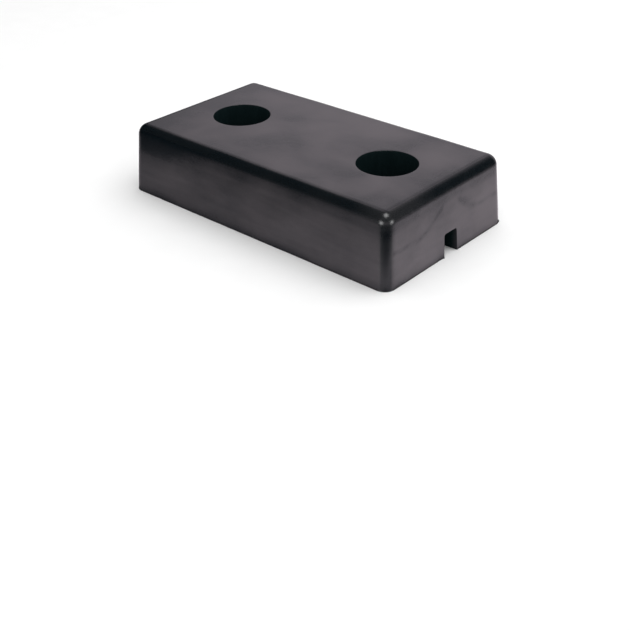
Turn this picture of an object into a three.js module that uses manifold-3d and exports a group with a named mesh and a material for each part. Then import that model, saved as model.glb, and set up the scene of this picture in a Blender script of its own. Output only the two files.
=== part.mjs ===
// Moulded rubber bumper block with two counterbored bolt holes, and the steel inserts moulded into it.
// Millimetres, +Z up. The origin is the centre of the mounting face. X runs along the block's length,
// Y across its width, and the impact face is on top.
import * as THREE from "three";
import { mergeVertices } from "three/addons/utils/BufferGeometryUtils.js";
import Module from "manifold-3d";

// Rubber block. Length and width are taken at the mounting face, where the block is widest.
const LENGTH = 450;
const WIDTH = 245;
const HEIGHT = 95;
const SIDE_DRAFT = 0.075; // how far each side leans in per millimetre of height
const UPRIGHT_EDGE_RADIUS = 14.5;
const TOP_EDGE_RADIUS = 14;

// Counterbored bolt holes on the centreline.
const HOLE_SPACING = 254;
const COUNTERBORE_RADIUS = 39; // at the impact face
const COUNTERBORE_DRAFT = 0.02; // how far its wall closes in per millimetre of depth
const MOUTH_ROUNDING = 1.5;

// Notch in the foot of each end face.
const NOTCH_OFFSET = 5.5; // its middle stands off the centreline
const NOTCH_FOOT_WIDTH = 26;
const NOTCH_TOP_WIDTH = 24.5;
const NOTCH_HEIGHT = 30;
const NOTCH_CORNER_RADIUS = 2.5;
const NOTCH_DEPTH = 60;

// Steel inserts at each hole: a round seat for the bolt head, on a sleeve that reaches the mounting face.
const BOLT_PASSAGE_RADIUS = 11;
const SEAT_HEIGHT = 48; // top of the seat above the mounting face
const SEAT_RADIUS = 51;
const SEAT_OPEN_RADIUS = 37; // the bolt head bears inside this radius, and the rubber covers the rim
const SEAT_THICKNESS = 8;
const SEAT_CHAMFER = 0.8;
const SLEEVE_RADIUS = 16;
const SLEEVE_CHAMFER = 1;
const SLEEVE_RECESS = 0.5; // the sleeve stops this far inside the mounting face

const FIT_GAP = 0.3; // between an insert and what surrounds it
const OVERCUT = 2; // how far a cutting solid stands out of the face it opens
const ROUND_SEGMENTS = 72;
const EDGE_SEGMENTS = 8;

const wasm = await Module();
wasm.setup();

const rubber = new THREE.MeshStandardMaterial({ color: 0x3a383b, roughness: 0.55, metalness: 0 });
const steel = new THREE.MeshStandardMaterial({ color: 0x8d9092, roughness: 0.45, metalness: 1 });

function solidFrom(geometry) {
  const bare = geometry.clone();
  bare.deleteAttribute("normal");
  bare.deleteAttribute("uv");
  const merged = mergeVertices(bare, 1e-4);
  const vertProperties = merged.attributes.position.array;
  const triVerts = new Uint32Array(merged.index.array);
  return new wasm.Manifold(new wasm.Mesh({ numProp: 3, vertProperties, triVerts }));
}

function geometryFrom(solid) {
  const mesh = solid.getMesh();
  const geometry = new THREE.BufferGeometry();
  geometry.setAttribute("position", new THREE.BufferAttribute(mesh.vertProperties, 3));
  geometry.setIndex(new THREE.BufferAttribute(mesh.triVerts, 1));
  geometry.computeVertexNormals();
  return geometry;
}

// A body of revolution about the Z axis from [radius, height] pairs.
function turned(profile) {
  const points = profile.map(([radius, height]) => new THREE.Vector2(radius, height));
  return new THREE.LatheGeometry(points, ROUND_SEGMENTS).rotateX(Math.PI / 2);
}

function roundedRectangle(length, width, radius) {
  const shape = new THREE.Shape();
  const centres = [
    [length / 2 - radius, width / 2 - radius],
    [radius - length / 2, width / 2 - radius],
    [radius - length / 2, radius - width / 2],
    [length / 2 - radius, radius - width / 2],
  ];
  centres.forEach(([x, y], quarter) => {
    const start = (quarter * Math.PI) / 2;
    shape.absarc(x, y, radius, start, start + Math.PI / 2, false);
  });
  shape.closePath();
  return shape;
}

// The outer form: a rounded plate whose top edge is rounded over and whose sides lean in with height.
function outerForm() {
  const shape = roundedRectangle(LENGTH, WIDTH, UPRIGHT_EDGE_RADIUS);
  const geometry = new THREE.ExtrudeGeometry(shape, {
    depth: HEIGHT - TOP_EDGE_RADIUS + OVERCUT,
    curveSegments: EDGE_SEGMENTS / 2,
    bevelEnabled: true,
    bevelThickness: TOP_EDGE_RADIUS,
    bevelSize: TOP_EDGE_RADIUS,
    bevelOffset: -TOP_EDGE_RADIUS,
    bevelSegments: EDGE_SEGMENTS,
  });
  geometry.translate(0, 0, -OVERCUT);
  const position = geometry.attributes.position;
  for (let i = 0; i < position.count; i += 1) {
    const inward = SIDE_DRAFT * position.getZ(i);
    position.setX(i, position.getX(i) - Math.sign(position.getX(i)) * inward);
    position.setY(i, position.getY(i) - Math.sign(position.getY(i)) * inward);
  }
  return geometry;
}

// Everything below the mounting face, to be cut away.
function underside() {
  const depth = TOP_EDGE_RADIUS + 2 * OVERCUT;
  const box = new THREE.BoxGeometry(LENGTH + 4 * OVERCUT, WIDTH + 4 * OVERCUT, depth);
  return box.translate(0, 0, -depth / 2);
}

// One hole with the room for its inserts: sleeve, seat, counterbore and rounded mouth, from the bottom up.
function holeCutter(x) {
  const seatTop = SEAT_HEIGHT + FIT_GAP;
  const seatBottom = SEAT_HEIGHT - SEAT_THICKNESS - FIT_GAP;
  const mouthFoot = HEIGHT - MOUTH_ROUNDING;
  const footRadius = COUNTERBORE_RADIUS - COUNTERBORE_DRAFT * (mouthFoot - seatTop);
  const profile = [
    [0, -OVERCUT],
    [SLEEVE_RADIUS + FIT_GAP, -OVERCUT],
    [SLEEVE_RADIUS + FIT_GAP, seatBottom],
    [SEAT_RADIUS + FIT_GAP, seatBottom],
    [SEAT_RADIUS + FIT_GAP, seatTop],
    [footRadius, seatTop],
  ];
  const steps = 4;
  for (let i = 0; i <= steps; i += 1) {
    const angle = (i / steps) * (Math.PI / 2);
    const radius = COUNTERBORE_RADIUS + MOUTH_ROUNDING * (1 - Math.cos(angle));
    profile.push([radius, mouthFoot + MOUTH_ROUNDING * Math.sin(angle)]);
  }
  profile.push([COUNTERBORE_RADIUS + MOUTH_ROUNDING, HEIGHT + OVERCUT], [0, HEIGHT + OVERCUT]);
  return turned(profile).translate(x, 0, 0);
}

// A notch at the foot of one end face. side is +1 for the +X end and -1 for the -X end.
function notchCutter(side) {
  const lean = (NOTCH_FOOT_WIDTH - NOTCH_TOP_WIDTH) / 2 / NOTCH_HEIGHT;
  const footHalf = NOTCH_FOOT_WIDTH / 2 + lean * OVERCUT;
  const topHalf = NOTCH_TOP_WIDTH / 2;
  const radius = NOTCH_CORNER_RADIUS;
  const shape = new THREE.Shape();
  shape.moveTo(-footHalf, -OVERCUT);
  shape.lineTo(footHalf, -OVERCUT);
  shape.lineTo(topHalf, NOTCH_HEIGHT - radius);
  shape.absarc(topHalf - radius, NOTCH_HEIGHT - radius, radius, 0, Math.PI / 2, false);
  shape.absarc(radius - topHalf, NOTCH_HEIGHT - radius, radius, Math.PI / 2, Math.PI, false);
  shape.closePath();
  const length = NOTCH_DEPTH + OVERCUT;
  const geometry = new THREE.ExtrudeGeometry(shape, {
    depth: length,
    curveSegments: EDGE_SEGMENTS / 4,
    bevelEnabled: false,
  });
  geometry.rotateX(Math.PI / 2).rotateZ(Math.PI / 2);
  const inner = side > 0 ? LENGTH / 2 - NOTCH_DEPTH : -LENGTH / 2 - OVERCUT;
  return geometry.translate(inner, NOTCH_OFFSET, 0);
}

function rubberBlock() {
  let solid = solidFrom(outerForm()).subtract(solidFrom(underside()));
  for (const side of [-1, 1]) {
    solid = solid.subtract(solidFrom(holeCutter((side * HOLE_SPACING) / 2)));
    solid = solid.subtract(solidFrom(notchCutter(side)));
  }
  return geometryFrom(solid);
}

// A flat ring or a tube with its four edges chamfered, standing on z = 0. Its top face has a seam at
// topSeam, a radius between the two walls.
function ring(innerRadius, outerRadius, topSeam, height, chamfer) {
  return turned([
    [innerRadius + chamfer, 0],
    [outerRadius - chamfer, 0],
    [outerRadius, chamfer],
    [outerRadius, height - chamfer],
    [outerRadius - chamfer, height],
    [topSeam, height],
    [innerRadius + chamfer, height],
    [innerRadius, height - chamfer],
    [innerRadius, chamfer],
    [innerRadius + chamfer, 0],
  ]);
}

function seatWasher() {
  return ring(BOLT_PASSAGE_RADIUS, SEAT_RADIUS, SEAT_OPEN_RADIUS, SEAT_THICKNESS, SEAT_CHAMFER);
}

function spacerSleeve() {
  const height = SEAT_HEIGHT - SEAT_THICKNESS - FIT_GAP - SLEEVE_RECESS;
  const middle = (BOLT_PASSAGE_RADIUS + SLEEVE_RADIUS) / 2;
  return ring(BOLT_PASSAGE_RADIUS, SLEEVE_RADIUS, middle, height, SLEEVE_CHAMFER);
}

function named(name, geometry, material, x = 0, z = 0) {
  const mesh = new THREE.Mesh(geometry, material);
  mesh.name = name;
  mesh.position.set(x, 0, z);
  return mesh;
}

const bumper = new THREE.Group();
bumper.add(named("rubber_block", rubberBlock(), rubber));
for (const [label, side] of [["left", -1], ["right", 1]]) {
  const x = (side * HOLE_SPACING) / 2;
  bumper.add(named(`${label}_seat_washer`, seatWasher(), steel, x, SEAT_HEIGHT - SEAT_THICKNESS));
  bumper.add(named(`${label}_spacer_sleeve`, spacerSleeve(), steel, x, SLEEVE_RECESS));
}

export default bumper;
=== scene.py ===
"""The moulded rubber bumper block's looks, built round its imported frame. Lengths are in millimetres until
a mesh is made."""
import math

import bmesh
import bpy
import numpy as np
from mathutils import Matrix, Quaternion, Vector

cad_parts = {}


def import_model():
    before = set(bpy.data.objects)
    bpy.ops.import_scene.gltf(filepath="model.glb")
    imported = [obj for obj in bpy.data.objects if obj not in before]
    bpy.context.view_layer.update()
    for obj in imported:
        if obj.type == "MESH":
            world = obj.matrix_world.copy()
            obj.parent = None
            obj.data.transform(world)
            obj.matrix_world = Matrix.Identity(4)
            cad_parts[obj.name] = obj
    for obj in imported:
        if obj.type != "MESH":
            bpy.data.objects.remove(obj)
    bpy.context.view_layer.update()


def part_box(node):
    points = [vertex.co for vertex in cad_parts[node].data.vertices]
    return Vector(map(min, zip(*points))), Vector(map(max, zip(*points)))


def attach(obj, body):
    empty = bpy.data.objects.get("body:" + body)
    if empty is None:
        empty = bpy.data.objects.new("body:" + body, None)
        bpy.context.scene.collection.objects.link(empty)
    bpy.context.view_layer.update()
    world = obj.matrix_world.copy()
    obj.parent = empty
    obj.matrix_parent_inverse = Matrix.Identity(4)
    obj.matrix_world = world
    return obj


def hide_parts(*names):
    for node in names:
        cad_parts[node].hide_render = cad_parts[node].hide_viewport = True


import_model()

MM = 0.001


def box_mm(node):
    low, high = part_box(node)
    return np.array(low) / MM, np.array(high) / MM


# Places and sizes that the frame gives.
BLOCK_HIGH = box_mm("rubber_block")[1]
SEAT_LOW, SEAT_HIGH = box_mm("right_seat_washer")
SLEEVE_LOW, SLEEVE_HIGH = box_mm("right_spacer_sleeve")
HALF_LENGTH = BLOCK_HIGH[0]
HALF_WIDTH = BLOCK_HIGH[1]
HEIGHT = BLOCK_HIGH[2]
HOLE_X = (SEAT_LOW[0] + SEAT_HIGH[0]) / 2
SEAT_RADIUS = (SEAT_HIGH[0] - SEAT_LOW[0]) / 2
SLEEVE_RADIUS = (SLEEVE_HIGH[0] - SLEEVE_LOW[0]) / 2

# The block's form, as the CAD model has it.
SIDE_DRAFT = 0.075
UPRIGHT_EDGE_RADIUS = 14.5
TOP_EDGE_RADIUS = 14.0
COUNTERBORE_RADIUS = 39.0
COUNTERBORE_DRAFT = 0.02
BOLT_PASSAGE_RADIUS = 11.0
INSERT_GAP = 0.3
NOTCH_OFFSET = 5.5
NOTCH_FOOT_WIDTH = 26.0
NOTCH_TOP_WIDTH = 24.5
NOTCH_HEIGHT = 30.0
NOTCH_DEPTH = 60.0
NOTCH_CORNER_RADIUS = 2.5

# Detail that only the visual model has.
MOUTH_ROUNDING = 0.8  # crisper than the CAD model's hole mouths
NOTCH_MOUTH_ROUNDING = 0.8
SEAT_FILLET = 2.0  # where the counterbore wall runs out onto the steel seat
SEAT_CLEARANCE = 0.05
SEAT_ROUNDING = 0.8
SLEEVE_ROUNDING = 1.0
CUTTER_OVERRUN = 4.0  # how far the notch's cutter stands out of the end,
CUTTER_UNDERRUN = 3.0  # and below the mounting face

# Thin mould flash round the mounting face.
FLASH_THICKNESS = 0.35
FLASH_REACH = 0.45  # its usual reach
FLASH_EDGE_SHARE = 0.92  # its reach at its upper and lower edge, as a share of its full reach
FLASH_RAGGED_MEAN, FLASH_RAGGED_SHARE = 0.55, 0.45
FLASH_LEAST, FLASH_MOST = 0.12, 2.2  # as shares of the usual reach
FLASH_WAVES = (7, 13, 29, 53, 97)  # waves round the outline
FLASH_ROOT_HEIGHT, FLASH_ROOT_REACH = 0.25, 0.06  # where it runs out into the side, above its top
SIDE_FOOT = 1.2  # the side's own rows of points start here

# Slow unevenness of the moulded faces.
WAVE_HEIGHT = 0.12
SIDE_WAVE_SHARE = 0.7  # on the sides and ends, as a share of the height on the impact face
WAVE_FREE_FOOT = 12.0  # the sides' waves fade out below this height
TOP_WAVE_FROM, TOP_WAVE_FADE = 60.0, 40.0  # the impact face's waves grow in over this much height
BULGE = 0.35  # how far the long sides swell at mid-length

# How finely the skin is divided.
LENGTH_STEPS = 176
WIDTH_STEPS = 92
CORNER_STEPS = 10
SIDE_STEPS = 34
FILLET_STEPS = 14
PLATE_STEPS = 30
BORE_STEPS = 12
MOUTH_STEPS = 4
TURNED_STEPS = 144

FACE, BORE = 0, 1  # material slots of the rubber body


# ---------------------------------------------------------------------------------------------- mesh tools


class Shell:
    """Collects grids of points as quads, each grid with a material slot, and welds them into one mesh."""

    def __init__(self):
        self.points = []
        self.quads = []
        self.slots = []

    def grid(self, rows, slot=FACE):
        """Adds the quads between closed rings of points, which all have the same number of points."""
        rows = np.asarray(rows)
        first = sum(len(p) for p in self.points)
        count, width = rows.shape[:2]
        self.points.append(rows.reshape(-1, 3))
        for r in range(count - 1):
            for c in range(width):
                d = (c + 1) % width
                a, b = first + r * width, first + (r + 1) * width
                self.quads.append((a + c, a + d, b + d, b + c))
                self.slots.append(slot)

    def face(self, ring, slot):
        first = sum(len(p) for p in self.points)
        self.points.append(np.asarray(ring))
        self.quads.append(tuple(range(first, first + len(ring))))
        self.slots.append(slot)

    def mesh(self, name, shape=None):
        points = np.concatenate(self.points)
        mesh = bpy.data.meshes.new(name)
        mesh.from_pydata(points.tolist(), [], self.quads)
        mesh.polygons.foreach_set("material_index", self.slots)
        weld(mesh)
        if shape:
            move_points(mesh, shape)
        mesh.transform(Matrix.Scale(MM, 4))
        smooth(mesh)
        return mesh


def weld(mesh, distance=1e-4):
    bm = bmesh.new()
    bm.from_mesh(mesh)
    bmesh.ops.remove_doubles(bm, verts=bm.verts, dist=distance)
    bmesh.ops.dissolve_degenerate(bm, edges=bm.edges, dist=distance)
    bmesh.ops.recalc_face_normals(bm, faces=bm.faces)
    bm.to_mesh(mesh)
    bm.free()


def move_points(mesh, shape):
    """Replaces each point p with shape(p), given and returned as an N x 3 array."""
    flat = np.zeros(len(mesh.vertices) * 3)
    mesh.vertices.foreach_get("co", flat)
    mesh.vertices.foreach_set("co", shape(flat.reshape(-1, 3)).ravel())
    mesh.update()


def smooth(mesh, sharp_angle=math.radians(34)):
    mesh.polygons.foreach_set("use_smooth", [True] * len(mesh.polygons))
    mesh.set_sharp_from_angle(angle=sharp_angle)


def place(name, mesh, materials):
    piece = bpy.data.objects.new(name, mesh)
    bpy.context.scene.collection.objects.link(piece)
    for material in materials:
        mesh.materials.append(material)
    return piece


def quarter(steps):
    """Angles of a quarter turn, both ends included."""
    return [i / steps * math.pi / 2 for i in range(steps + 1)]


# ------------------------------------------------------------------------------------------- rubber body


def outline():
    """The block's outline seen from above, as two N x 2 arrays. A rounded rectangle is core * (its half
    sides less its corner radius) + outward * its corner radius."""
    core, outward = [], []
    corners = [(1, -1), (1, 1), (-1, 1), (-1, -1)]
    for i, corner in enumerate(corners):
        start = (i - 1) * math.pi / 2
        for angle in quarter(CORNER_STEPS):
            core.append(corner)
            outward.append((math.cos(start + angle), math.sin(start + angle)))
        after = corners[(i + 1) % 4]
        steps = WIDTH_STEPS if corner[0] == after[0] else LENGTH_STEPS
        normal = (math.cos(start + math.pi / 2), math.sin(start + math.pi / 2))
        for s in range(1, steps):
            share = s / steps
            core.append([corner[k] + (after[k] - corner[k]) * share for k in range(2)])
            outward.append(normal)
    return np.array(core, float), np.array(outward, float)


CORE, OUTWARD = outline()


def ring(z, inset=0.0):
    """The outline at height z, drawn in by inset. inset may be one number or one for each point."""
    inset = np.broadcast_to(inset, len(CORE))[:, None]
    half = np.array([HALF_LENGTH, HALF_WIDTH]) - SIDE_DRAFT * z
    shared = np.minimum(inset, UPRIGHT_EDGE_RADIUS)
    flat = CORE * (half - UPRIGHT_EDGE_RADIUS) + OUTWARD * (UPRIGHT_EDGE_RADIUS - shared)
    return np.column_stack([flat, np.full(len(CORE), float(z))])


def flash_reach():
    """How far the mould flash stands out at each point of the outline: uneven, with a pointed tag at one
    corner and beside each notch."""
    foot = ring(0.0)
    turn = np.unwrap(np.arctan2(foot[:, 1], foot[:, 0]))
    ragged = sum(np.sin(turn * k + k * k) / math.sqrt(k) for k in FLASH_WAVES)
    uneven = FLASH_RAGGED_MEAN + FLASH_RAGGED_SHARE * ragged
    reach = FLASH_REACH * np.clip(uneven, FLASH_LEAST, FLASH_MOST)
    corner_inset = 4.0
    notch_side = NOTCH_FOOT_WIDTH / 2 + 0.5
    tags = [  # x, y, spread, length
        (HALF_LENGTH - corner_inset, HALF_WIDTH - corner_inset, 4.0, 1.4),
        (HALF_LENGTH, NOTCH_OFFSET - notch_side, 3.5, 1.3),
        (-HALF_LENGTH, NOTCH_OFFSET + notch_side, 3.5, 1.0),
    ]
    for x, y, spread, length in tags:
        away = np.hypot(foot[:, 0] - x, foot[:, 1] - y)
        reach += length * np.exp(-((away / spread) ** 2))
    return reach


def skin_rows():
    """The outer skin from the mounting face's flat rim, over the flash and up the sides, to the flat of
    the impact face."""
    reach = flash_reach()
    rows = [
        ring(0.0, UPRIGHT_EDGE_RADIUS),
        ring(0.0, 0.0),
        ring(0.0, -reach * FLASH_EDGE_SHARE),
        ring(FLASH_THICKNESS / 2, -reach),
        ring(FLASH_THICKNESS, -reach * FLASH_EDGE_SHARE),
        ring(FLASH_THICKNESS + FLASH_ROOT_HEIGHT, -FLASH_ROOT_REACH),
    ]
    side_top = HEIGHT - TOP_EDGE_RADIUS
    for i in range(SIDE_STEPS):
        rows.append(ring(SIDE_FOOT + (side_top - SIDE_FOOT) * i / SIDE_STEPS))
    for angle in quarter(FILLET_STEPS):
        z = side_top + TOP_EDGE_RADIUS * math.sin(angle)
        rows.append(ring(z, TOP_EDGE_RADIUS * (1 - math.cos(angle))))
    rows.append(ring(HEIGHT, UPRIGHT_EDGE_RADIUS))
    return rows


def half_plate_edge(z, side):
    """The edge of the left or right half of a flat face, which meets the skin and the other half."""
    half = np.array([HALF_LENGTH, HALF_WIDTH]) - SIDE_DRAFT * z - UPRIGHT_EDGE_RADIUS
    along = np.linspace(0, 1, LENGTH_STEPS // 2 + 1)
    up = np.linspace(-1, 1, WIDTH_STEPS + 1)
    x = np.concatenate([along[:-1], np.ones(WIDTH_STEPS), along[:0:-1], np.zeros(WIDTH_STEPS)])
    y = np.concatenate([-np.ones(len(along) - 1), up[:-1], np.ones(len(along) - 1), up[:0:-1]])
    return np.column_stack([side * x * half[0], y * half[1], np.full(len(x), float(z))])


def hole_directions(side):
    """Unit directions from a hole's axis to the points of the impact face's edge, which every ring of
    the hole shares."""
    edge = half_plate_edge(HEIGHT, side)[:, :2] - np.array([side * HOLE_X, 0])
    return edge / np.linalg.norm(edge, axis=1)[:, None]


def hole_ring(side, radius, z):
    circle = hole_directions(side) * radius + np.array([side * HOLE_X, 0])
    return np.column_stack([circle, np.full(len(circle), float(z))])


def plate_rows(side, z, radius):
    """Half of a flat face, from its edge in to the hole."""
    edge, rim = half_plate_edge(z, side), hole_ring(side, radius, z)
    return [edge + (rim - edge) * (i / PLATE_STEPS) for i in range(PLATE_STEPS + 1)]


def mouth_rows(side):
    """The rounded mouth of one hole."""
    rows = []
    for angle in quarter(MOUTH_STEPS):
        radius = COUNTERBORE_RADIUS + MOUTH_ROUNDING * (1 - math.sin(angle))
        rows.append(hole_ring(side, radius, HEIGHT - MOUTH_ROUNDING * (1 - math.cos(angle))))
    return rows


def wall_rows(side):
    """One hole's wall: counterbore, the pocket round the seat, and the room for the sleeve."""
    mouth_foot = HEIGHT - MOUTH_ROUNDING
    rows = [(COUNTERBORE_RADIUS, mouth_foot)]
    seat_top, seat_foot = SEAT_HIGH[2] + SEAT_CLEARANCE, SEAT_LOW[2] - INSERT_GAP
    wall_foot = seat_top + SEAT_FILLET
    for i in range(1, BORE_STEPS + 1):
        z = mouth_foot + (wall_foot - mouth_foot) * i / BORE_STEPS
        rows.append((COUNTERBORE_RADIUS - COUNTERBORE_DRAFT * (mouth_foot - z), z))
    foot_radius = rows[-1][0]
    for angle in quarter(MOUTH_STEPS)[1:]:
        rows.append((foot_radius - SEAT_FILLET * (1 - math.cos(angle)),
                     wall_foot - SEAT_FILLET * math.sin(angle)))
    pocket, throat = SEAT_RADIUS + INSERT_GAP, SLEEVE_RADIUS + INSERT_GAP
    rows += [(pocket, seat_top), (pocket, seat_foot), (throat, seat_foot), (throat, 0.0)]
    return [hole_ring(side, radius, z) for radius, z in rows]


def moulding_waves(points):
    """The slow unevenness of a moulded block: its faces wave a little and its long sides swell. The
    mounting face and what bears on the inserts stay true. In each sine, a coordinate is divided by its
    wavelength over two pi."""
    x, y, z = points.T
    lift = np.clip(z / WAVE_FREE_FOOT, 0, 1)
    moved = points.copy()
    swell = BULGE * (1 - (x / HALF_LENGTH) ** 2) * (y / HALF_WIDTH) ** 3
    wave = np.sin(x / 31 + 0.4) * np.sin(y / 27 + 1.1) + 0.6 * np.sin(x / 17 + y / 23 + 2.0)
    side_wave = np.sin(x / 37 + z / 19) + 0.7 * np.sin(x / 15 - z / 11 + 1.7)
    end_wave = np.sin(y / 21 + z / 17 + 0.8) + 0.6 * np.sin(y / 12 - z / 14)
    side_height = WAVE_HEIGHT * SIDE_WAVE_SHARE
    moved[:, 1] += lift * (swell + side_height * side_wave * (y / HALF_WIDTH) ** 3)
    moved[:, 0] += lift * side_height * end_wave * (x / HALF_LENGTH) ** 5
    moved[:, 2] += WAVE_HEIGHT * wave * np.clip((z - TOP_WAVE_FROM) / TOP_WAVE_FADE, 0, 1)
    return moved


def notch_ring(x_of_z, offset):
    """The notch's cross-section, grown by offset, as a ring whose point at height z lies at x_of_z(z)."""
    lean = (NOTCH_FOOT_WIDTH - NOTCH_TOP_WIDTH) / 2 / NOTCH_HEIGHT
    foot = NOTCH_FOOT_WIDTH / 2 + lean * CUTTER_UNDERRUN + offset
    top = NOTCH_TOP_WIDTH / 2 + offset
    radius = NOTCH_CORNER_RADIUS + offset
    height = NOTCH_HEIGHT + offset
    points = [(-foot, -CUTTER_UNDERRUN), (foot, -CUTTER_UNDERRUN)]
    for angle in quarter(MOUTH_STEPS):
        points.append((top - radius + radius * math.cos(angle), height - radius + radius * math.sin(angle)))
    for angle in quarter(MOUTH_STEPS):
        points.append((radius - top - radius * math.sin(angle), height - radius + radius * math.cos(angle)))
    return np.array([(x_of_z(z), NOTCH_OFFSET + y, z) for y, z in points])


def notch_cutter():
    """The solid that cuts the notch out of the +X end, flared at its mouth so that the edge is rounded."""
    shell = Shell()

    def at_depth(depth):
        return lambda z: HALF_LENGTH - SIDE_DRAFT * z - depth

    rings = [notch_ring(lambda z: HALF_LENGTH - NOTCH_DEPTH, 0.0)]
    for angle in quarter(MOUTH_STEPS):
        depth = NOTCH_MOUTH_ROUNDING * (1 - math.sin(angle))
        rings.append(notch_ring(at_depth(depth), NOTCH_MOUTH_ROUNDING * (1 - math.cos(angle))))
    rings.append(notch_ring(at_depth(-CUTTER_OVERRUN), NOTCH_MOUTH_ROUNDING))
    shell.grid(rings, BORE)
    shell.face(rings[0], BORE)
    shell.face(rings[-1], BORE)
    return shell.mesh("notch_cutter")


def cut(piece, cutter_mesh, materials, turn):
    """Cuts piece with a mesh, which the given matrix first turns or mirrors."""
    cutter = place("cutter", cutter_mesh.copy(), materials)
    cutter.data.transform(turn)
    if turn.determinant() < 0:
        cutter.data.flip_normals()
    modifier = piece.modifiers.new("notch", "BOOLEAN")
    modifier.operation = "DIFFERENCE"
    modifier.solver = "EXACT"
    modifier.object = cutter
    bpy.context.view_layer.update()
    evaluated = piece.evaluated_get(bpy.context.evaluated_depsgraph_get())
    result = bpy.data.meshes.new_from_object(evaluated)
    piece.modifiers.clear()
    piece.data = result
    bpy.data.objects.remove(cutter)


def rubber_body(materials):
    shell = Shell()
    shell.grid(skin_rows())
    for side in (-1, 1):
        shell.grid(plate_rows(side, HEIGHT, COUNTERBORE_RADIUS + MOUTH_ROUNDING))
        shell.grid(plate_rows(side, 0.0, SLEEVE_RADIUS + INSERT_GAP))
        mouth = mouth_rows(side)
        shell.grid(mouth[:MOUTH_STEPS // 2 + 1])
        shell.grid(mouth[MOUTH_STEPS // 2:] + wall_rows(side)[1:], BORE)
    body = place("rubber_body", shell.mesh("rubber_body", moulding_waves), materials)
    cutter = notch_cutter()
    for side in (1, -1):
        cut(body, cutter, materials, Matrix.Diagonal((side, 1, 1, 1)))
    smooth(body.data)
    return body


# ---------------------------------------------------------------------------------------- steel inserts


def turned(name, profile, centre_x, material):
    """A body of revolution about an upright axis, from (radius, height) pairs that close on themselves."""
    angles = np.linspace(0, 2 * math.pi, TURNED_STEPS, endpoint=False)
    rows = [np.column_stack([centre_x + radius * np.cos(angles), radius * np.sin(angles),
                             np.full(TURNED_STEPS, height)]) for radius, height in profile]
    shell = Shell()
    shell.grid(rows + rows[:1])
    return place(name, shell.mesh(name), [material])


def rounded_ring_profile(inner, outer, foot, top, rounding):
    """A rectangular ring section with its four edges rounded."""
    profile = []
    corners = [(outer - rounding, foot + rounding, -math.pi / 2), (outer - rounding, top - rounding, 0.0),
               (inner + rounding, top - rounding, math.pi / 2), (inner + rounding, foot + rounding, math.pi)]
    for radius, height, start in corners:
        for angle in quarter(MOUTH_STEPS):
            profile.append((radius + rounding * math.cos(start + angle),
                            height + rounding * math.sin(start + angle)))
    return profile


def steel_inserts(material):
    seat = rounded_ring_profile(
        BOLT_PASSAGE_RADIUS, SEAT_RADIUS, SEAT_LOW[2], SEAT_HIGH[2], SEAT_ROUNDING)
    sleeve = rounded_ring_profile(
        BOLT_PASSAGE_RADIUS, SLEEVE_RADIUS, SLEEVE_LOW[2], SLEEVE_HIGH[2], SLEEVE_ROUNDING)
    pieces = []
    for label, side in (("left", -1), ("right", 1)):
        for kind, profile in (("seat_washer", seat), ("spacer_sleeve", sleeve)):
            piece = turned(f"{label}_{kind}_steel", profile, side * HOLE_X, material)
            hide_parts(f"{label}_{kind}")
            pieces.append(piece)
    return pieces


# -------------------------------------------------------------------------------------------- materials


class Nodes:
    """Adds linked nodes to a node tree. An input is a number, a tuple or another node's output."""

    def __init__(self, tree):
        self.tree = tree
        tree.nodes.clear()

    def add(self, kind, inputs=(), **settings):
        node = self.tree.nodes.new(kind)
        for name, value in settings.items():
            setattr(node, name, value)
        for key, value in dict(inputs).items():
            if isinstance(value, bpy.types.NodeSocket):
                self.tree.links.new(value, node.inputs[key])
            else:
                node.inputs[key].default_value = value
        return node

    def maths(self, operation, a, b=0.0, c=0.0):
        return self.add("ShaderNodeMath", {0: a, 1: b, 2: c}, operation=operation).outputs[0]

    def vector(self, operation, a, b=(0, 0, 0), scale=1.0):
        node = self.add("ShaderNodeVectorMath", {0: a, 1: b, 3: scale}, operation=operation)
        return node.outputs["Value" if operation in ("DOT_PRODUCT", "LENGTH") else "Vector"]

    def fade(self, value, low, high, to_low=0.0, to_high=1.0):
        """Runs smoothly from to_low at low to to_high at high."""
        settings = {"interpolation_type": "SMOOTHSTEP"}
        inputs = {"Value": value, "From Min": low, "From Max": high, "To Min": to_low, "To Max": to_high}
        return self.add("ShaderNodeMapRange", inputs, **settings).outputs[0]

    def noise(self, vector, scale, detail=3.0, roughness=0.5, distortion=0.0):
        inputs = {"Vector": vector, "Scale": scale, "Detail": detail, "Roughness": roughness,
                  "Distortion": distortion}
        return self.add("ShaderNodeTexNoise", inputs).outputs["Fac"]

    def stretched(self, vector, scale):
        return self.vector("MULTIPLY", vector, scale)

    def bump(self, height, strength, depth_mm, normal=None):
        inputs = {"Strength": strength, "Distance": depth_mm * MM, "Height": height}
        if normal is not None:
            inputs["Normal"] = normal
        return self.add("ShaderNodeBump", inputs).outputs[0]

    def mix(self, factor, a, b):
        node = self.add("ShaderNodeMix", data_type="RGBA")
        for key, value in ((0, factor), (6, a), (7, b)):
            if isinstance(value, bpy.types.NodeSocket):
                self.tree.links.new(value, node.inputs[key])
            else:
                node.inputs[key].default_value = value
        return node.outputs[2]


def new_material(name):
    material = bpy.data.materials.new(name)
    material.use_nodes = True
    return material, Nodes(material.node_tree)


# A name that ends in SPAN or LIMITS holds the values at which a fade starts and is complete.

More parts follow.
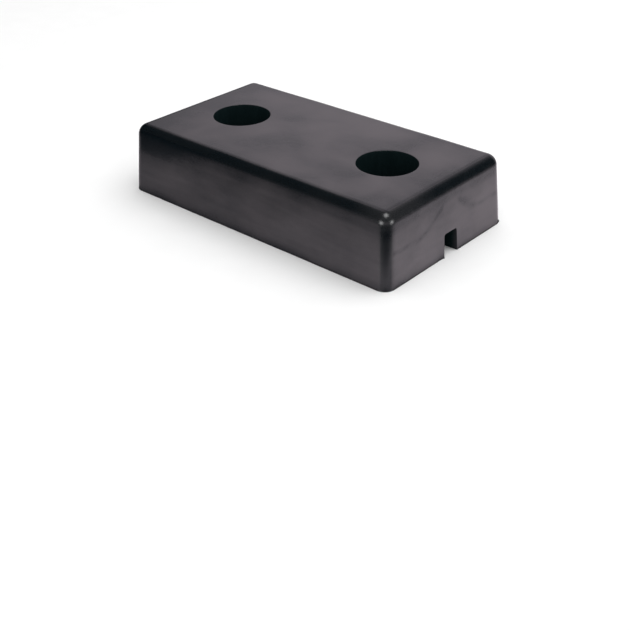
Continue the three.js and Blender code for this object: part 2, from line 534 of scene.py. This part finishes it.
# Noise patterns. A scale is in waves per millimetre.
NOISE_MIDDLE = 0.5
CLOUDS = {"scale": 0.012, "detail": 2, "roughness": 0.4, "distortion": 0.5}
PATCHES = {"scale": 0.030, "detail": 5, "roughness": 0.55, "distortion": 0.2}
PATCH_STRETCH = (0.7, 1, 1.4)
STREAKS = {"scale": 1.0, "detail": 3, "roughness": 0.5, "distortion": 0.4}
STREAK_STRETCH = (0.010, 0.010, 0.10)
GRAIN = {"scale": 1.4, "detail": 2, "roughness": 0.6}
PORES = {"scale": 0.33, "detail": 1, "roughness": 0.5}
SPECKS = {"scale": 0.9, "detail": 0}
SPECK_LIMITS = (0.78, 0.84)
SPECK_SHARE = 0.25

# Bloom is the pale film that rubber sweats out. Clouds, patches, streaks and trends of painted light and
# shade are added to its strength, which shows as none at 0 and as full at FULL_BLOOM.
BLOOM_LEVEL = 0.48  # its usual strength
FULL_BLOOM = 0.9
CLOUD_GAIN, PATCH_GAIN, STREAK_GAIN = 0.70, 0.62, 0.24
TOP_CLOUD_GAIN = 1.85  # on the impact face clouds show this many times as strongly,
TOP_PATCH_GAIN = 0.75  # and patches this many times
SIDE_GAIN = 0.62  # on the long sides both show this many times as strongly
FOOT_AND_RIM_SHADE = -0.24  # painted shade along the foot and the edges of the impact face
RIM_SHADE_REACH = 30.0  # the shade grows over this distance,
RIM_SHADE_FULL_INSET = 10.0  # and is full from this far inside the edge
SIDE_TOP_SHADE = -0.14  # and painted shade just under the top edge of the sides and the ends
SIDE_TOP_SPAN = (HEIGHT - TOP_EDGE_RADIUS * 2, HEIGHT - TOP_EDGE_RADIUS * 1.3)
LEFT_END_SHADE = -0.58  # painted shade on the left end of the impact face
LEFT_END_SHADE_SPAN = (-HALF_LENGTH * 0.55, -HALF_LENGTH)
FAR_SIDE_LIGHT = 0.32  # painted light low on the far side of the end face
FAR_SIDE_LIGHT_SPAN = (0.0, HALF_WIDTH * 0.7)
FAR_SIDE_LIGHT_HEIGHT_SPAN = (HEIGHT * 0.9, HEIGHT * 0.5)
BACK_SHEEN = 0.22  # painted sheen on the impact face, behind its middle
BACK_SHEEN_MIDDLE = (0.0, HALF_WIDTH * 0.62, HEIGHT)
BACK_SHEEN_SPAN = (HALF_WIDTH * 0.85, 0.0)
SIDE_BAND_SHADE = -0.55  # painted shade under the top edge of the long sides, towards the left end
SIDE_BAND_SHADE_REACH = 56.0
SIDE_BAND_SHADE_SPAN = (-HALF_LENGTH * 0.15, -HALF_LENGTH * 0.85)
SIDE_BAND_EDGE_NOISE = {"scale": 0.014, "detail": 3, "roughness": 0.6}
SIDE_BAND_EDGE_WANDER = 30.0

# The knit line, where two flows of rubber met while the mould filled: level, with an arch over the notch.
KNIT_LEVEL = HEIGHT * 0.48
KNIT_ARCH_RISE = 25.0
KNIT_ARCH_REACH = 62.0
KNIT_GAP_SPAN = (11.2, 18.2)  # the arch's crown is unmarked nearer to its middle than this
KNIT_WIDTH = 6.0
KNIT_SMEAR_FROM_MIDDLE = 36.0  # where the far limb of the arch is smeared
KNIT_SMEAR_REACH = 24.0
KNIT_NOISE = {"scale": 0.03, "detail": 2}
KNIT_WANDER = 7.0
KNIT_FADING_NOISE = {"scale": 0.05, "detail": 2}
KNIT_FADING_LIMITS = (0.30, 0.62)
KNIT_FAINTEST = 0.45
KNIT_DEPTH = 0.30  # how much bloom the line lacks

# How much of the normal lies along an axis on an end, on a long side and on the impact face, and how
# little lies along any axis on a rounded edge.
END_FACING_SPAN = (0.95, 0.99)
SIDE_FACING_SPAN = (0.80, 0.92)
TOP_FACING_SPAN = (0.95, 0.99)
ROUNDED_FACING_SPAN = (0.990, 0.92)

# Rubber: colours, roughness and shine.
CLEAN_RUBBER = (0.0014, 0.0040, 0.0060, 1)
BLOOMED_RUBBER = (0.036, 0.0312, 0.0345, 1)
SPECK_COLOUR = (0.09, 0.085, 0.085, 1)
# painted shade: the rounded edges are coloured near-black so that they show as a dark band
SHADED_EDGE_COLOUR = (0.0014, 0.0036, 0.0053, 1)
# painted light on the rounded top edge near the near top corner
LIT_EDGE_COLOUR = (0.0130, 0.0138, 0.0155, 1)
EDGE_LIGHT_SPOT = (HALF_LENGTH, -HALF_WIDTH * 0.7, HEIGHT)
EDGE_LIGHT_SPAN = (75.0, 15.0)
TOP_EDGE_SPAN = (HEIGHT - TOP_EDGE_RADIUS * 2, HEIGHT - TOP_EDGE_RADIUS / 2)
RUBBER_ROUGHNESS, BLOOM_ROUGHNESS, GRAIN_ROUGHNESS, EDGE_SMOOTHNESS = 0.25, 0.12, 0.10, 0.04
RUBBER_SHINE, BLOOM_SHINE, EDGE_SHINE_LOSS = 0.32, 0.30, 0.06

# Bumps, each as a strength and a depth in millimetres.
GRAIN_BUMP = (0.25, 0.06)
PORE_BUMP = (0.25, 0.2)
KNIT_BUMP = (0.05, 0.2)
BORE_BUMP = (0.3, 0.1)
STEEL_BUMP = (0.25, 0.08)

# The dull rubber of the holes and the notch.
BORE_BLOOM = {"scale": 0.09, "detail": 4, "roughness": 0.6, "distortion": 0.4}
BORE_BLOOM_STRETCH = (1, 1, 0.3)
BORE_BLOOM_LIMITS = (0.35, 0.75)
BORE_GRAIN = {"scale": 1.3, "detail": 2, "roughness": 0.6}
CLEAN_BORE = (0.0046, 0.0104, 0.0113, 1)
BLOOMED_BORE = (0.0064, 0.0137, 0.0146, 1)
NOTCH_MOUTH_LIGHT = (0.0220, 0.0235, 0.0265, 1)  # painted light at the notch's mouth, as pale as the faces
NOTCH_MOUTH_LIGHT_SPAN = (HALF_LENGTH - 10.0, HALF_LENGTH - 2.0)
BORE_ROUGHNESS, BORE_GRAIN_ROUGHNESS, BORE_SHINE = 0.66, 0.16, 0.25
BORE_DULLNESS = 0.95

# The zinc-plated steel of the inserts.
SPANGLE = {"scale": 0.22, "detail": 3, "roughness": 0.65, "distortion": 0.6}
SPANGLE_LIMITS = (0.35, 0.7)
STAINS = {"scale": 0.05, "detail": 4, "roughness": 0.6, "distortion": 0.3}
STAIN_LIMITS = (0.52, 0.75)
STAIN_SHARE = 0.55
STEEL_GRAIN = {"scale": 2.2, "detail": 2, "roughness": 0.6}
DARK_ZINC = (0.24, 0.245, 0.25, 1)
PALE_ZINC = (0.40, 0.40, 0.395, 1)
STAIN_COLOUR = (0.075, 0.068, 0.062, 1)
STEEL_ROUGHNESS, SPANGLE_ROUGHNESS = 0.30, 0.28
STEEL_METALLIC = 0.92


def place_in_mm(n):
    return n.vector("SCALE", n.add("ShaderNodeTexCoord").outputs["Object"], scale=1 / MM)


def wander(n, place_mm, pattern, reach):
    """A slow random shift, up to half of reach either way."""
    return n.maths("MULTIPLY_ADD", n.noise(place_mm, **pattern), reach, -reach / 2)


def facings(n):
    """How much a point is on a rounded edge, on an end, on a long side and on the impact face."""
    normal = n.add("ShaderNodeNewGeometry").outputs["Normal"]
    x, y, z = n.add("ShaderNodeSeparateXYZ", {0: n.vector("ABSOLUTE", normal)}).outputs
    flat = n.maths("MAXIMUM", n.maths("MAXIMUM", x, y), z)
    spans = ((flat, ROUNDED_FACING_SPAN), (x, END_FACING_SPAN), (y, SIDE_FACING_SPAN), (z, TOP_FACING_SPAN))
    return [n.fade(value, *span) for value, span in spans]


def foot_and_edge_shade(n, x, y, z, on_end, on_side, on_top):
    """Painted shade along the foot, round the edges of the impact face and just under the top edge of the
    sides and the ends.
    """
    near_end = n.fade(n.maths("ABSOLUTE", x), HALF_LENGTH - RIM_SHADE_REACH - RIM_SHADE_FULL_INSET,
                      HALF_LENGTH - RIM_SHADE_FULL_INSET)
    near_side = n.fade(n.maths("ABSOLUTE", y), HALF_WIDTH - RIM_SHADE_REACH - RIM_SHADE_FULL_INSET,
                       HALF_WIDTH - RIM_SHADE_FULL_INSET)
    top_rim_shade = n.maths("MULTIPLY", n.maths("MAXIMUM", near_end, near_side), on_top)
    rim_shade = n.maths("MAXIMUM", top_rim_shade, n.fade(z, RIM_SHADE_REACH / 2, 0.0))
    near_edge = n.fade(z, *SIDE_TOP_SPAN, 0.0, SIDE_TOP_SHADE)
    side_top = n.maths("MULTIPLY", near_edge, n.maths("MAXIMUM", on_side, on_end))
    return n.maths("MULTIPLY_ADD", rim_shade, FOOT_AND_RIM_SHADE, side_top)


def painted_light_trend(n, place_mm, on_end, on_side, on_top):
    """Painted light and shade over the block, added to the bloom's strength apart from its clouds."""
    x, y, z = n.add("ShaderNodeSeparateXYZ", {0: place_mm}).outputs
    left = n.maths("MULTIPLY", n.fade(x, *LEFT_END_SHADE_SPAN, 0.0, LEFT_END_SHADE), on_top)
    far = n.maths("MULTIPLY", n.fade(y, *FAR_SIDE_LIGHT_SPAN, 0.0, FAR_SIDE_LIGHT), on_end)
    far = n.maths("MULTIPLY", far, n.fade(z, *FAR_SIDE_LIGHT_HEIGHT_SPAN))
    from_back = n.vector("LENGTH", n.vector("SUBTRACT", place_mm, BACK_SHEEN_MIDDLE))
    back = n.maths("MULTIPLY", n.fade(from_back, *BACK_SHEEN_SPAN, 0.0, BACK_SHEEN), on_top)
    height = n.maths("ADD", z, wander(n, place_mm, SIDE_BAND_EDGE_NOISE, SIDE_BAND_EDGE_WANDER))
    under_edge = n.fade(height, HEIGHT - SIDE_BAND_SHADE_REACH, HEIGHT - SIDE_BAND_SHADE_REACH / 3)
    leftwards = n.fade(x, *SIDE_BAND_SHADE_SPAN, 0.0, SIDE_BAND_SHADE)
    band_shade = n.maths("MULTIPLY", n.maths("MULTIPLY", under_edge, leftwards), on_side)
    trend = foot_and_edge_shade(n, x, y, z, on_end, on_side, on_top)
    for change in (left, far, back, band_shade):
        trend = n.maths("ADD", trend, change)
    return trend


def knit_mark(n, place_mm, on_end):
    """How strongly the knit line shows at a point."""
    y, z = n.add("ShaderNodeSeparateXYZ", {0: place_mm}).outputs[1:]
    from_notch = n.maths("SUBTRACT", y, NOTCH_OFFSET)
    from_middle = n.maths("ABSOLUTE", from_notch)
    arch = n.fade(from_middle, KNIT_ARCH_REACH, 0.0, 0.0, KNIT_ARCH_RISE)
    height = n.maths("ADD", z, wander(n, place_mm, KNIT_NOISE, KNIT_WANDER))
    above_line = n.maths("SUBTRACT", height, n.maths("ADD", arch, KNIT_LEVEL))
    from_smear = n.maths("ABSOLUTE", n.maths("SUBTRACT", from_notch, KNIT_SMEAR_FROM_MIDDLE))
    smear = n.fade(from_smear, KNIT_SMEAR_REACH, 0.0)
    width = n.maths("MULTIPLY_ADD", smear, KNIT_WIDTH, KNIT_WIDTH)
    line = n.fade(n.maths("DIVIDE", n.maths("ABSOLUTE", above_line), width), 1.0, 0.0)
    fading = n.fade(n.noise(place_mm, **KNIT_FADING_NOISE), *KNIT_FADING_LIMITS, KNIT_FAINTEST, 1.0)
    crown = n.fade(from_middle, *KNIT_GAP_SPAN)
    return n.maths("MULTIPLY", n.maths("MULTIPLY", line, fading), n.maths("MULTIPLY", crown, on_end))


def bloom_with_painted_light(n, place_mm, knit, on_end, on_side, on_top):
    """How strong the bloom is at a point, from 0 to 1, with painted light and shade added to it."""
    clouds = n.noise(place_mm, **CLOUDS)
    patches = n.noise(n.stretched(place_mm, PATCH_STRETCH), **PATCHES)
    streaks = n.noise(n.stretched(place_mm, STREAK_STRETCH), **STREAKS)
    bloom = BLOOM_LEVEL
    patterns = ((clouds, CLOUD_GAIN, TOP_CLOUD_GAIN), (patches, PATCH_GAIN, TOP_PATCH_GAIN))
    for pattern, gain, top_gain in patterns:
        strength = n.maths("MULTIPLY_ADD", on_top, gain * (top_gain - 1), gain)
        strength = n.maths("MULTIPLY_ADD", on_side, gain * (SIDE_GAIN - 1), strength)
        bloom = n.maths("MULTIPLY_ADD", n.maths("SUBTRACT", pattern, NOISE_MIDDLE), strength, bloom)
    off_top = n.maths("SUBTRACT", 1.0, on_top)
    streak = n.maths("MULTIPLY", n.maths("SUBTRACT", streaks, NOISE_MIDDLE), off_top)
    bloom = n.maths("ADD", bloom, n.maths("MULTIPLY", streak, STREAK_GAIN))
    bloom = n.maths("ADD", bloom, painted_light_trend(n, place_mm, on_end, on_side, on_top))
    bloom = n.maths("SUBTRACT", bloom, n.maths("MULTIPLY", knit, KNIT_DEPTH))
    return n.fade(bloom, 0.0, FULL_BLOOM)


def rubber_colour(n, place_mm, bloom, rounded):
    # bloom includes painted light and shade, so this colour carries them too
    colour = n.mix(bloom, CLEAN_RUBBER, BLOOMED_RUBBER)
    speck = n.fade(n.noise(place_mm, **SPECKS), *SPECK_LIMITS)
    colour = n.mix(n.maths("MULTIPLY", speck, SPECK_SHARE), colour, SPECK_COLOUR)
    from_spot = n.vector("LENGTH", n.vector("SUBTRACT", place_mm, EDGE_LIGHT_SPOT))
    height = n.add("ShaderNodeSeparateXYZ", {0: place_mm}).outputs[2]
    edge_light = n.maths("MULTIPLY", n.fade(from_spot, *EDGE_LIGHT_SPAN), n.fade(height, *TOP_EDGE_SPAN))
    # the rounded edges take painted shade, with paler painted light near the near top corner
    return n.mix(rounded, colour, n.mix(edge_light, SHADED_EDGE_COLOUR, LIT_EDGE_COLOUR))


def rubber_face_material():
    material, n = new_material("moulded_rubber_face")
    place_mm = place_in_mm(n)
    rounded, on_end, on_side, on_top = facings(n)
    knit = knit_mark(n, place_mm, on_end)
    # bloom holds painted light and shade as well as the bloom itself
    bloom = bloom_with_painted_light(n, place_mm, knit, on_end, on_side, on_top)
    grain = n.noise(place_mm, **GRAIN)

    roughness = n.maths("MULTIPLY_ADD", bloom, BLOOM_ROUGHNESS, RUBBER_ROUGHNESS)
    rougher = n.maths("SUBTRACT", grain, NOISE_MIDDLE)
    roughness = n.maths("MULTIPLY_ADD", rougher, GRAIN_ROUGHNESS, roughness)
    roughness = n.maths("SUBTRACT", roughness, n.maths("MULTIPLY", rounded, EDGE_SMOOTHNESS))
    shine = n.maths("MULTIPLY_ADD", bloom, BLOOM_SHINE, RUBBER_SHINE)
    shine = n.maths("SUBTRACT", shine, n.maths("MULTIPLY", rounded, EDGE_SHINE_LOSS))

    normal = n.bump(grain, *GRAIN_BUMP)
    normal = n.bump(n.noise(place_mm, **PORES), *PORE_BUMP, normal)
    normal = n.bump(n.maths("MULTIPLY", knit, -1.0), *KNIT_BUMP, normal)
    shader = n.add("ShaderNodeBsdfPrincipled", {
        "Base Color": rubber_colour(n, place_mm, bloom, rounded), "Roughness": roughness,
        "Specular IOR Level": shine, "Normal": normal})
    n.add("ShaderNodeOutputMaterial", {"Surface": shader.outputs[0]})
    return material


def rubber_bore_material():
    material, n = new_material("moulded_rubber_bore")
    place_mm = place_in_mm(n)
    bloom = n.noise(n.stretched(place_mm, BORE_BLOOM_STRETCH), **BORE_BLOOM)
    grain = n.noise(place_mm, **BORE_GRAIN)
    colour = n.mix(n.fade(bloom, *BORE_BLOOM_LIMITS), CLEAN_BORE, BLOOMED_BORE)
    from_middle = n.maths("ABSOLUTE", n.add("ShaderNodeSeparateXYZ", {0: place_mm}).outputs[0])
    # painted light near the notch's mouth
    colour = n.mix(n.fade(from_middle, *NOTCH_MOUTH_LIGHT_SPAN), colour, NOTCH_MOUTH_LIGHT)
    roughness = n.maths("MULTIPLY_ADD", grain, BORE_GRAIN_ROUGHNESS, BORE_ROUGHNESS)
    normal = n.bump(grain, *BORE_BUMP)
    shader = n.add("ShaderNodeBsdfPrincipled", {
        "Base Color": colour, "Roughness": roughness, "Specular IOR Level": BORE_SHINE, "Normal": normal})
    dull = n.add("ShaderNodeBsdfDiffuse", {"Color": colour, "Normal": normal})
    dusty = n.add("ShaderNodeMixShader", {0: BORE_DULLNESS, 1: shader.outputs[0], 2: dull.outputs[0]})
    n.add("ShaderNodeOutputMaterial", {"Surface": dusty.outputs[0]})
    return material


def steel_material():
    material, n = new_material("insert_steel_zinc")
    place_mm = place_in_mm(n)
    spangle = n.noise(place_mm, **SPANGLE)
    stain = n.fade(n.noise(place_mm, **STAINS), *STAIN_LIMITS, 0.0, STAIN_SHARE)
    colour = n.mix(n.fade(spangle, *SPANGLE_LIMITS), DARK_ZINC, PALE_ZINC)
    colour = n.mix(stain, colour, STAIN_COLOUR)
    roughness = n.maths("MULTIPLY_ADD", spangle, SPANGLE_ROUGHNESS, STEEL_ROUGHNESS)
    normal = n.bump(n.noise(place_mm, **STEEL_GRAIN), *STEEL_BUMP)
    shader = n.add("ShaderNodeBsdfPrincipled", {
        "Base Color": colour, "Metallic": STEEL_METALLIC, "Roughness": roughness, "Normal": normal})
    n.add("ShaderNodeOutputMaterial", {"Surface": shader.outputs[0]})
    return material


# ------------------------------------------------------------------------------------------ the studio

# The camera stands where the photographer did, in metres. Azimuth 0 looks along +Y.
CAMERA_PLACE = Vector((0.822, -0.907, 0.600))
CAMERA_AZIMUTH = math.radians(42.1)
CAMERA_PITCH = math.radians(32.5)
CAMERA_ROLL = math.radians(-1.0)
CAMERA_LENS = 57.0
CAMERA_SENSOR = 36.0

AWAY = (-math.sin(CAMERA_AZIMUTH), math.cos(CAMERA_AZIMUTH), 0.0)  # the camera's level heading

WARM = (1.0, 0.905, 0.985, 1)
COOL = (0.75, 0.92, 1.0, 1)

# The floor, and how reflections see it lit. Lengths are in millimetres.
FLOOR_HALF = 6000.0
FLOOR_STEPS = 8
FLOOR_DROP = 0.3
FLOOR_MOTTLE = {"scale": 0.02, "detail": 3}
FLOOR_DARK, FLOOR_PALE = (0.86, 0.86, 0.86, 1), (0.90, 0.90, 0.90, 1)
FLOOR_UNEVENNESS = {"scale": 0.012, "detail": 3, "roughness": 0.55, "distortion": 0.6}
UNEVENNESS_LIMITS = (0.2, 0.8)
UNEVENNESS_LEVELS = (0.85, 1.15)
POOL_MIDDLE = (330.0, 130.0, 0.0)  # the brightest place, beside the block's near end
POOL_SPAN = (140.0, 620.0)
POOL_LEVEL, FLOOR_LEVEL = 1.34, 0.54
FRONT_SHADE_SPAN = (308.0, 362.0)  # towards the camera the floor falls dark between these
FRONT_SHADE_LEVEL = 0.03
SIDE_SHADE_SPAN = (-255.0, -272.0)  # and beyond the long side, between these in y,
SIDE_SHADE_SLANT = 0.79  # left of a line that slants this much across,
SIDE_SHADE_END_SPAN = (310.0, 200.0)  # which lies between these
SIDE_SHADE_NEARER = 46.0  # it comes this much nearer to the block beyond the block's left end
SIDE_SHADE_NEARER_SPAN = (-HALF_LENGTH * 0.9, -HALF_LENGTH * 1.6)
END_SHADE_SPAN = (400.0, 470.0)
SHADE_DEPTH = 0.95
SHADE_UNEVENNESS = 40.0
CONTACT_SPAN = (-4.0, 9.0)  # the floor is dark under the block
SIDE_FOOT_DIM, SIDE_FOOT_REACH = 0.30, 60.0  # and dimmer along the foot of its long sides,
SIDE_FOOT_END_SPAN = (0.0, -30.0)  # but not beyond its ends

# What reflections see beyond the floor, as levels of light. PANEL_AHEAD_SPAN and BEHIND_SPAN are measured
# along the camera's heading, and HEIGHT is how steeply a reflection looks up.
PANEL_LEVEL = 0.86
PANEL_AHEAD_SPAN = (0.44, 0.68)
PANEL_SLANT = 0.75  # the bright panel's left edge leans, so that it reaches further left higher up
PANEL_EDGE_SPAN = (0.72, 0.89)
BEHIND_LEVEL = 0.75
BEHIND_SPAN = (-0.55, -0.95)
BEHIND_HEIGHT_SPAN = (0.55, 0.15)
BESIDE_LEVEL = 0.34
BESIDE_TOWARDS = (1.0, -1.0, 0.0)  # from the block to its near corner
BESIDE_SPAN = (0.04, 0.22)
BESIDE_HEIGHT_SPAN = (0.42, 0.18)
DARK_LEVEL = 0.02
DOME_LEVEL = 0.95

# One broad, soft lamp overhead, in metres and watts.
OVERHEAD_TOWARDS = (0.3, 0.3, 1.0)
OVERHEAD_DISTANCE = 1.8
OVERHEAD_SIZE = 1.6
OVERHEAD_POWER = 14.0


def camera():
    data = bpy.data.cameras.new("camera")
    data.lens = CAMERA_LENS
    data.sensor_width = CAMERA_SENSOR
    back = Vector(AWAY) * -math.cos(CAMERA_PITCH) + Vector((0, 0, math.sin(CAMERA_PITCH)))
    item = bpy.data.objects.new("camera", data)
    item.location = CAMERA_PLACE
    level = (-back).to_track_quat("-Z", "Y")
    item.rotation_euler = (level @ Quaternion((0, 0, 1), CAMERA_ROLL)).to_euler()
    bpy.context.scene.collection.objects.link(item)
    bpy.context.scene.camera = item


def floor():
    mesh = bpy.data.meshes.new("floor")
    bm = bmesh.new()
    bmesh.ops.create_grid(bm, x_segments=FLOOR_STEPS, y_segments=FLOOR_STEPS, size=FLOOR_HALF * MM)
    bm.to_mesh(mesh)
    bm.free()
    mesh.transform(Matrix.Translation((0, 0, -FLOOR_DROP * MM)))
    piece = place("floor", mesh, [floor_material()])


def floor_material():
    """A pale paper sweep. Reflections see it lit as a studio table is: brightest beside the block's end,
    and falling away into the dark towards the camera and beyond the long side."""
    material, n = new_material("pale_paper")
    place_mm = place_in_mm(n)
    colour = n.mix(n.noise(place_mm, **FLOOR_MOTTLE), FLOOR_DARK, FLOOR_PALE)
    paper = n.add("ShaderNodeBsdfDiffuse", {"Color": colour})
    glow = n.add("ShaderNodeEmission", {"Color": WARM, "Strength": floor_light(n, place_mm)})
    mirrored = n.add("ShaderNodeLightPath").outputs["Is Glossy Ray"]
    shader = n.add("ShaderNodeMixShader", {0: mirrored, 1: paper.outputs[0], 2: glow.outputs[0]})
    n.add("ShaderNodeOutputMaterial", {"Surface": shader.outputs[0]})
    return material


def floor_light(n, place_mm):
    """How brightly reflections see each place on the floor."""
    x, y = n.add("ShaderNodeSeparateXYZ", {0: place_mm}).outputs[:2]
    unevenness = n.noise(place_mm, **FLOOR_UNEVENNESS)
    from_pool = n.vector("LENGTH", n.vector("SUBTRACT", place_mm, POOL_MIDDLE))
    level = n.fade(from_pool, *POOL_SPAN, POOL_LEVEL, FLOOR_LEVEL)
    level = n.maths("MULTIPLY", level, n.fade(unevenness, *UNEVENNESS_LIMITS, *UNEVENNESS_LEVELS))
    to_camera = n.maths("MULTIPLY", n.vector("DOT_PRODUCT", place_mm, AWAY), -1.0)
    level = n.maths("MULTIPLY", level, n.fade(to_camera, *FRONT_SHADE_SPAN, 1.0, FRONT_SHADE_LEVEL))
    shade = n.maths("MULTIPLY", floor_shade(n, x, y, unevenness), SHADE_DEPTH)
    level = n.maths("MULTIPLY", level, n.maths("SUBTRACT", 1.0, shade))

    beyond_end = n.maths("SUBTRACT", n.maths("ABSOLUTE", x), HALF_LENGTH)
    beyond_side = n.maths("SUBTRACT", n.maths("ABSOLUTE", y), HALF_WIDTH)
    off_block = n.maths("MAXIMUM", beyond_end, beyond_side)
    along_side = n.fade(beyond_end, *SIDE_FOOT_END_SPAN)
    beside = n.maths("MULTIPLY", n.fade(beyond_side, SIDE_FOOT_REACH, 0.0), along_side)
    level = n.maths("MULTIPLY", level, n.maths("MULTIPLY_ADD", beside, -SIDE_FOOT_DIM, 1.0))
    return n.maths("MULTIPLY", level, n.fade(off_block, *CONTACT_SPAN))


def floor_shade(n, x, y, unevenness):
    """How much of the floor's glow is missing beyond the long side and beyond the near end."""
    shift = n.maths("MULTIPLY_ADD", unevenness, SHADE_UNEVENNESS, -SHADE_UNEVENNESS / 2)
    nearer = n.fade(x, *SIDE_SHADE_NEARER_SPAN, 0.0, SIDE_SHADE_NEARER)
    place = n.maths("ADD", y, n.maths("SUBTRACT", shift, nearer))
    across = n.maths("MULTIPLY_ADD", y, -SIDE_SHADE_SLANT, x)
    side = n.maths("MULTIPLY", n.fade(across, *SIDE_SHADE_END_SPAN), n.fade(place, *SIDE_SHADE_SPAN))
    return n.maths("MAXIMUM", side, n.fade(x, *END_SHADE_SPAN))


def mirrored_studio_level(n, direction):
    """How bright a reflection is in each direction: a panel beyond the block, low light behind the camera
    and, weaker, on the whole side of the near corner, and darkness above."""
    far, height = n.add("ShaderNodeSeparateXYZ", {0: direction}).outputs[1:]
    ahead = n.vector("DOT_PRODUCT", direction, AWAY)
    slanted = n.maths("MULTIPLY_ADD", height, PANEL_SLANT, far)
    panel = n.maths("MULTIPLY", n.fade(ahead, *PANEL_AHEAD_SPAN), n.fade(slanted, *PANEL_EDGE_SPAN))
    behind = n.maths("MULTIPLY", n.fade(ahead, *BEHIND_SPAN),
                     n.fade(height, *BEHIND_HEIGHT_SPAN, 0.0, BEHIND_LEVEL))
    towards = n.vector("DOT_PRODUCT", direction, BESIDE_TOWARDS)
    beside = n.maths("MULTIPLY", n.fade(towards, *BESIDE_SPAN),
                     n.fade(height, *BESIDE_HEIGHT_SPAN, 0.0, BESIDE_LEVEL))
    return n.maths("ADD", n.maths("MULTIPLY", panel, PANEL_LEVEL), n.maths("MAXIMUM", behind, beside))


def world():
    """A soft white dome. Reflections see a darker studio instead."""
    scene_world = bpy.data.worlds.new("studio")
    scene_world.use_nodes = True
    bpy.context.scene.world = scene_world
    n = Nodes(scene_world.node_tree)
    direction = n.add("ShaderNodeTexCoord").outputs["Generated"]
    level = mirrored_studio_level(n, direction)
    lit = n.add("ShaderNodeBackground", {"Color": WARM, "Strength": level})
    dark = n.add("ShaderNodeBackground", {"Color": COOL, "Strength": DARK_LEVEL})
    studio_light = n.add("ShaderNodeAddShader", {0: lit.outputs[0], 1: dark.outputs[0]})
    dome = n.add("ShaderNodeBackground", {"Color": (1, 1, 1, 1), "Strength": DOME_LEVEL})
    mirrored = n.add("ShaderNodeLightPath").outputs["Is Glossy Ray"]
    mixed = n.add("ShaderNodeMixShader", {0: mirrored, 1: dome.outputs[0], 2: studio_light.outputs[0]})
    n.add("ShaderNodeOutputWorld", {"Surface": mixed.outputs[0]})


def lamp(name, aim, towards, distance, size, power, in_reflections):
    """A square lamp in a direction from the aimed-at point, either a soft light or one that only shows in
    reflections."""
    data = bpy.data.lights.new(name, "AREA")
    data.size = size
    data.energy = power
    item = bpy.data.objects.new(name, data)
    direction = Vector(towards).normalized()
    item.location = Vector(aim) + direction * distance
    item.rotation_euler = (-direction).to_track_quat("-Z", "Y").to_euler()
    item.visible_glossy = in_reflections
    item.visible_diffuse = not in_reflections
    bpy.context.scene.collection.objects.link(item)


# Three small lamps that the near top corner mirrors as points of light. Each is mirrored where the rounded
# corner has leaned from its own middle towards one of the three faces that meet there. In metres and watts.
CORNER_MIDDLE = Vector((1, -1, 1)).normalized()
CORNER_LEANS = {"corner_top": (0, 0, 0.5), "corner_front": (0, -1.1, 0), "corner_end": (1.1, 0, 0)}
CORNER_LAMP_DISTANCE = 2.0
CORNER_LAMP_SIZE = 1.0
CORNER_LAMP_POWER = 26.0


def near_top_corner():
    """The centre that the near top corner is rounded about."""
    height = HEIGHT - TOP_EDGE_RADIUS
    inset = SIDE_DRAFT * height + UPRIGHT_EDGE_RADIUS
    return Vector((HALF_LENGTH - inset, inset - HALF_WIDTH, height)) * MM


def corner_lamps():
    corner = near_top_corner()
    for name, lean in CORNER_LEANS.items():
        facing = (CORNER_MIDDLE + Vector(lean)).normalized()
        sight = (corner + facing * TOP_EDGE_RADIUS * MM - CAMERA_PLACE).normalized()
        mirrored = sight.reflect(facing)
        lamp(name, corner, mirrored, CORNER_LAMP_DISTANCE, CORNER_LAMP_SIZE, CORNER_LAMP_POWER, True)


def lights():
    lamp("overhead", (0, 0, 0), OVERHEAD_TOWARDS, OVERHEAD_DISTANCE, OVERHEAD_SIZE, OVERHEAD_POWER, False)
    corner_lamps()


def studio():
    floor()
    camera()
    world()
    lights()
    bpy.context.scene.view_settings.view_transform = "Standard"


# ------------------------------------------------------------------------------------------- assembly

body = rubber_body([rubber_face_material(), rubber_bore_material()])
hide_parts("rubber_block")
for part in [body] + steel_inserts(steel_material()):
    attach(part, "root")
studio()
